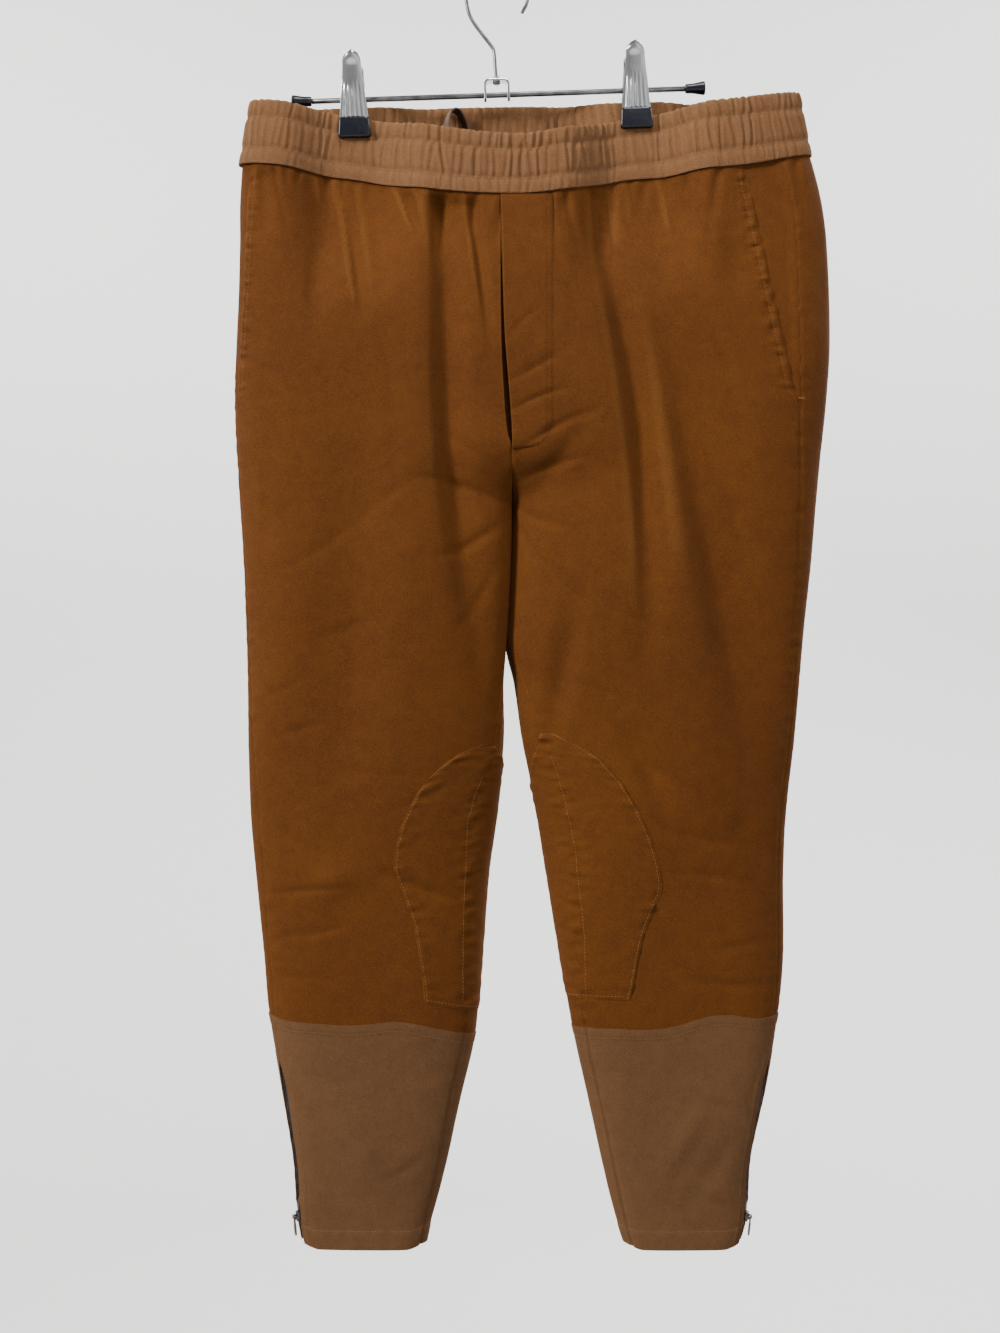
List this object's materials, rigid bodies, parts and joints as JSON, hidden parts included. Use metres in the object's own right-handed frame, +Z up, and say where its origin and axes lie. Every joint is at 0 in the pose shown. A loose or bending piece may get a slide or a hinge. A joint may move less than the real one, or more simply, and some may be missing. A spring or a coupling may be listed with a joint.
{
  "type": "tapered pants on a clip hanger",
  "caption": "Pull-on tapered trousers with a gathered elastic waistband, inner knee patches and zipped lower legs, clipped by the waist to a steel bar hanger.",
  "frame": {"origin": "inside top of the hanger's hook, where a rail bears", "axes": "+Z up, +X to the viewer's right (the wearer's left), the front of the trousers faces -Y"},
  "size_m": [0.5126, 0.0742, 1.1113],
  "materials": {
    "rust_twill": "washed cotton twill, rust brown, matt",
    "taupe_twill": "light cotton twill, pale brown, matt",
    "dark_ribbon": "woven ribbon and zip tape, dark brown",
    "zip_metal": "dark antique nickel",
    "bar_steel": "drawn steel wire, plated",
    "chrome": "bright chrome plate on pressed steel",
    "black_rubber": "dipped black vinyl, half gloss"
  },
  "bodies": {
    "root": {"front_right": "rust_twill", "front_left": "rust_twill", "back_right": "rust_twill", "back_left": "rust_twill", "pocket_facing_right": "rust_twill", "pocket_facing_left": "rust_twill", "fly_placket": "rust_twill", "fly_underlap": "rust_twill", "knee_patch_right": "rust_twill", "knee_patch_left": "rust_twill", "waistband_front": "taupe_twill", "waistband_back": "taupe_twill", "lower_front_right": "taupe_twill", "lower_front_left": "taupe_twill", "lower_back_right": "taupe_twill", "lower_back_left": "taupe_twill", "zip_tape_right": "dark_ribbon", "zip_tape_left": "dark_ribbon", "hanging_loop": "dark_ribbon", "zip_slider_right": "zip_metal", "zip_slider_left": "zip_metal", "hanger_bar": "bar_steel", "clip_spring_right": "bar_steel", "clip_spring_left": "bar_steel", "clip_front_right": "chrome", "clip_back_right": "chrome", "clip_front_left": "chrome", "clip_back_left": "chrome", "hook_yoke": "chrome", "hook": "chrome", "end_cap_right": "black_rubber", "end_cap_left": "black_rubber", "clip_pad_front_right": "black_rubber", "clip_pad_back_right": "black_rubber", "clip_pad_front_left": "black_rubber", "clip_pad_back_left": "black_rubber"},
    "pull_right": {"zip_pull_right": "zip_metal"},
    "pull_left": {"zip_pull_left": "zip_metal"}
  },
  "joints": [
    {"name": "pull_right_swing", "type": "hinge", "parent": "root", "child": "pull_right", "pos_m": [-0.17486, -0.00492, -1.08271], "axis": [-0.4106, 0.9118, 0], "range_deg": [0, 150]},
    {"name": "pull_left_swing", "type": "hinge", "parent": "root", "child": "pull_left", "pos_m": [0.21856, -0.00457, -1.08271], "axis": [-0.3767, -0.9263, 0], "range_deg": [0, 150]}
  ]
}
